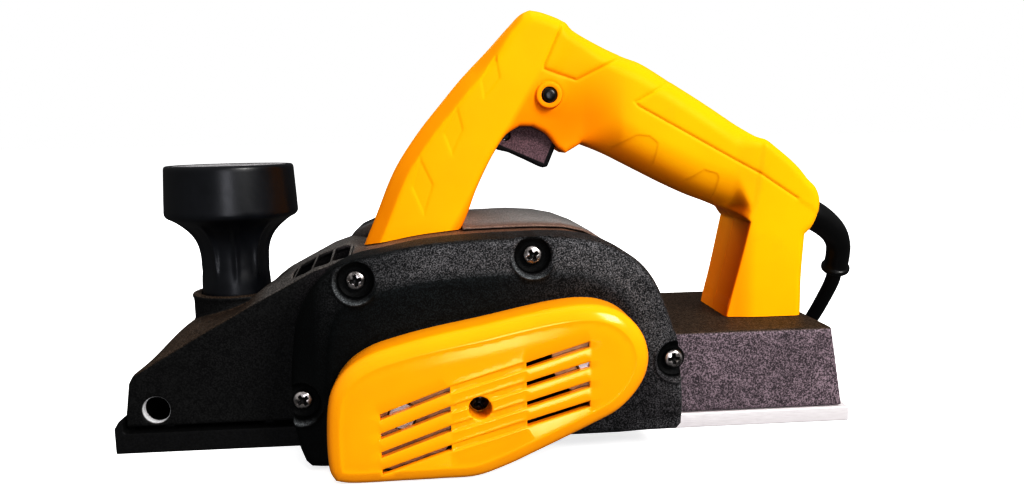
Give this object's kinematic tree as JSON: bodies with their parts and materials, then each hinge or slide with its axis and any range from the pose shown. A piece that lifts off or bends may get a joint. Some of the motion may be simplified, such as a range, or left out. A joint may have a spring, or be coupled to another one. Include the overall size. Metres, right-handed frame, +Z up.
{
  "type": "electric hand planer",
  "caption": "Hand-held electric wood planer: rotating cutter drum between a sliding front shoe and a rear sole, depth knob, belt cover, closed loop handle with trigger, mains cord.",
  "frame": {"origin": "centre of the base on the plane of the rear sole, halfway along the base's length and width", "axes": "+X towards the rear of the tool (the sole's longest direction), +Y towards the side with the motor end cap and the chip outlet, +Z up"},
  "size_m": [0.3133, 0.274, 0.1682],
  "materials": {
    "cast_frame": "fine textured powder coat on cast aluminium",
    "motor_plastic": "fine spark texture",
    "black_cover": "speckled spark texture, satin",
    "yellow_plastic": "moulded, satin to gloss",
    "screw_steel": "bright zinc plated",
    "machined_aluminium": "machined and ground sole",
    "turned_steel": "turned",
    "drum_steel": "machined",
    "blade_steel": "ground edge",
    "spring_steel": "drawn wire",
    "knob_plastic": "semi gloss",
    "cap_plastic": "satin disc",
    "black_plastic": "satin",
    "trigger_plastic": "satin",
    "cord_rubber": "matt cable sheath",
    "tie_plastic": "satin",
    "pin_brass": "drawn",
    "core_steel": "stacked sheet steel",
    "copper": "turned copper bars",
    "carbon": "pressed carbon",
    "belt_rubber": "ribbed belt"
  },
  "bodies": {
    "body": {"main_frame": "cast_frame", "motor_housing": "motor_plastic", "motor_end_cap": "motor_plastic", "side_cover": "black_cover", "side_cover_screw_1": "screw_steel", "side_cover_screw_2": "screw_steel", "side_cover_screw_3": "screw_steel", "side_cover_screw_4": "screw_steel", "belt_cover": "yellow_plastic", "belt_cover_screw": "screw_steel", "rear_sole": "machined_aluminium", "knob_spring": "spring_steel", "handle_left": "yellow_plastic", "handle_right": "yellow_plastic", "handle_screw_1": "screw_steel", "handle_screw_2": "screw_steel", "handle_screw_3": "screw_steel", "trigger_pin": "turned_steel", "switch_body": "black_plastic", "cord_guard": "cord_rubber", "cord_clamp": "black_plastic", "supply_cord": "cord_rubber", "cord_tail": "cord_rubber", "cord_coil": "cord_rubber", "cord_tie": "tie_plastic", "plug_body": "cord_rubber", "plug_pin_1": "pin_brass", "plug_pin_2": "pin_brass", "stator": "core_steel", "motor_bearing_front": "turned_steel", "motor_bearing_rear": "turned_steel", "brush_holder_1": "black_plastic", "brush_holder_2": "black_plastic", "carbon_brush_1": "carbon", "carbon_brush_2": "carbon", "drum_bearing_left": "turned_steel", "drum_bearing_right": "turned_steel", "drum_plate_left": "cast_frame", "drum_plate_right": "cast_frame", "drive_belt": "belt_rubber", "chip_chute": "black_plastic"},
    "knob": {"depth_knob": "knob_plastic", "knob_cap": "cap_plastic", "knob_retainer": "turned_steel"},
    "shoe": {"front_shoe": "machined_aluminium", "depth_stud": "turned_steel"},
    "drum": {"cutter_drum": "drum_steel", "blade_1": "blade_steel", "blade_2": "blade_steel", "blade_clamp_1": "drum_steel", "blade_clamp_2": "drum_steel", "drum_pulley": "drum_steel"},
    "rotor": {"motor_shaft": "turned_steel", "armature": "core_steel", "commutator": "copper", "motor_fan": "black_plastic", "motor_pulley": "drum_steel"},
    "trigger": {"trigger": "trigger_plastic"},
    "lock_button": {"lock_button": "black_plastic"}
  },
  "joints": [
    {"name": "depth_knob_turn", "type": "hinge", "parent": "body", "child": "knob", "pos_m": [-0.1067, 0, 0.07], "axis": [0, 0, -1], "range_deg": [0, 360]},
    {"name": "front_shoe_slide", "type": "slide", "parent": "body", "child": "shoe", "axis": [0, 0, 1], "range_m": [0, 0.002], "deforming": ["knob_spring"]},
    {"name": "drum_spin", "type": "hinge", "parent": "body", "child": "drum", "pos_m": [-0.033, 0, 0.024], "axis": [0, 1, 0], "continuous": true},
    {"name": "rotor_spin", "type": "hinge", "parent": "body", "child": "rotor", "pos_m": [0.03, 0, 0.041], "axis": [0, 1, 0], "continuous": true},
    {"name": "trigger_pull", "type": "hinge", "parent": "body", "child": "trigger", "pos_m": [0.0092, 0, 0.118], "axis": [0, -1, 0], "range_deg": [0, 10], "stiffness_Nm_per_rad": 0.3, "springref_deg": -20.05},
    {"name": "lock_button_push", "type": "slide", "parent": "body", "child": "lock_button", "axis": [0, 1, 0], "range_m": [0, 0.003], "stiffness_N_per_m": 150, "springref_m": -0.004}
  ],
  "couplings": [
    {"joint": "front_shoe_slide", "follows": "depth_knob_turn", "m_per_rad": 0.0003183},
    {"joint": "rotor_spin", "follows": "drum_spin", "ratio": 1.7358}
  ]
}
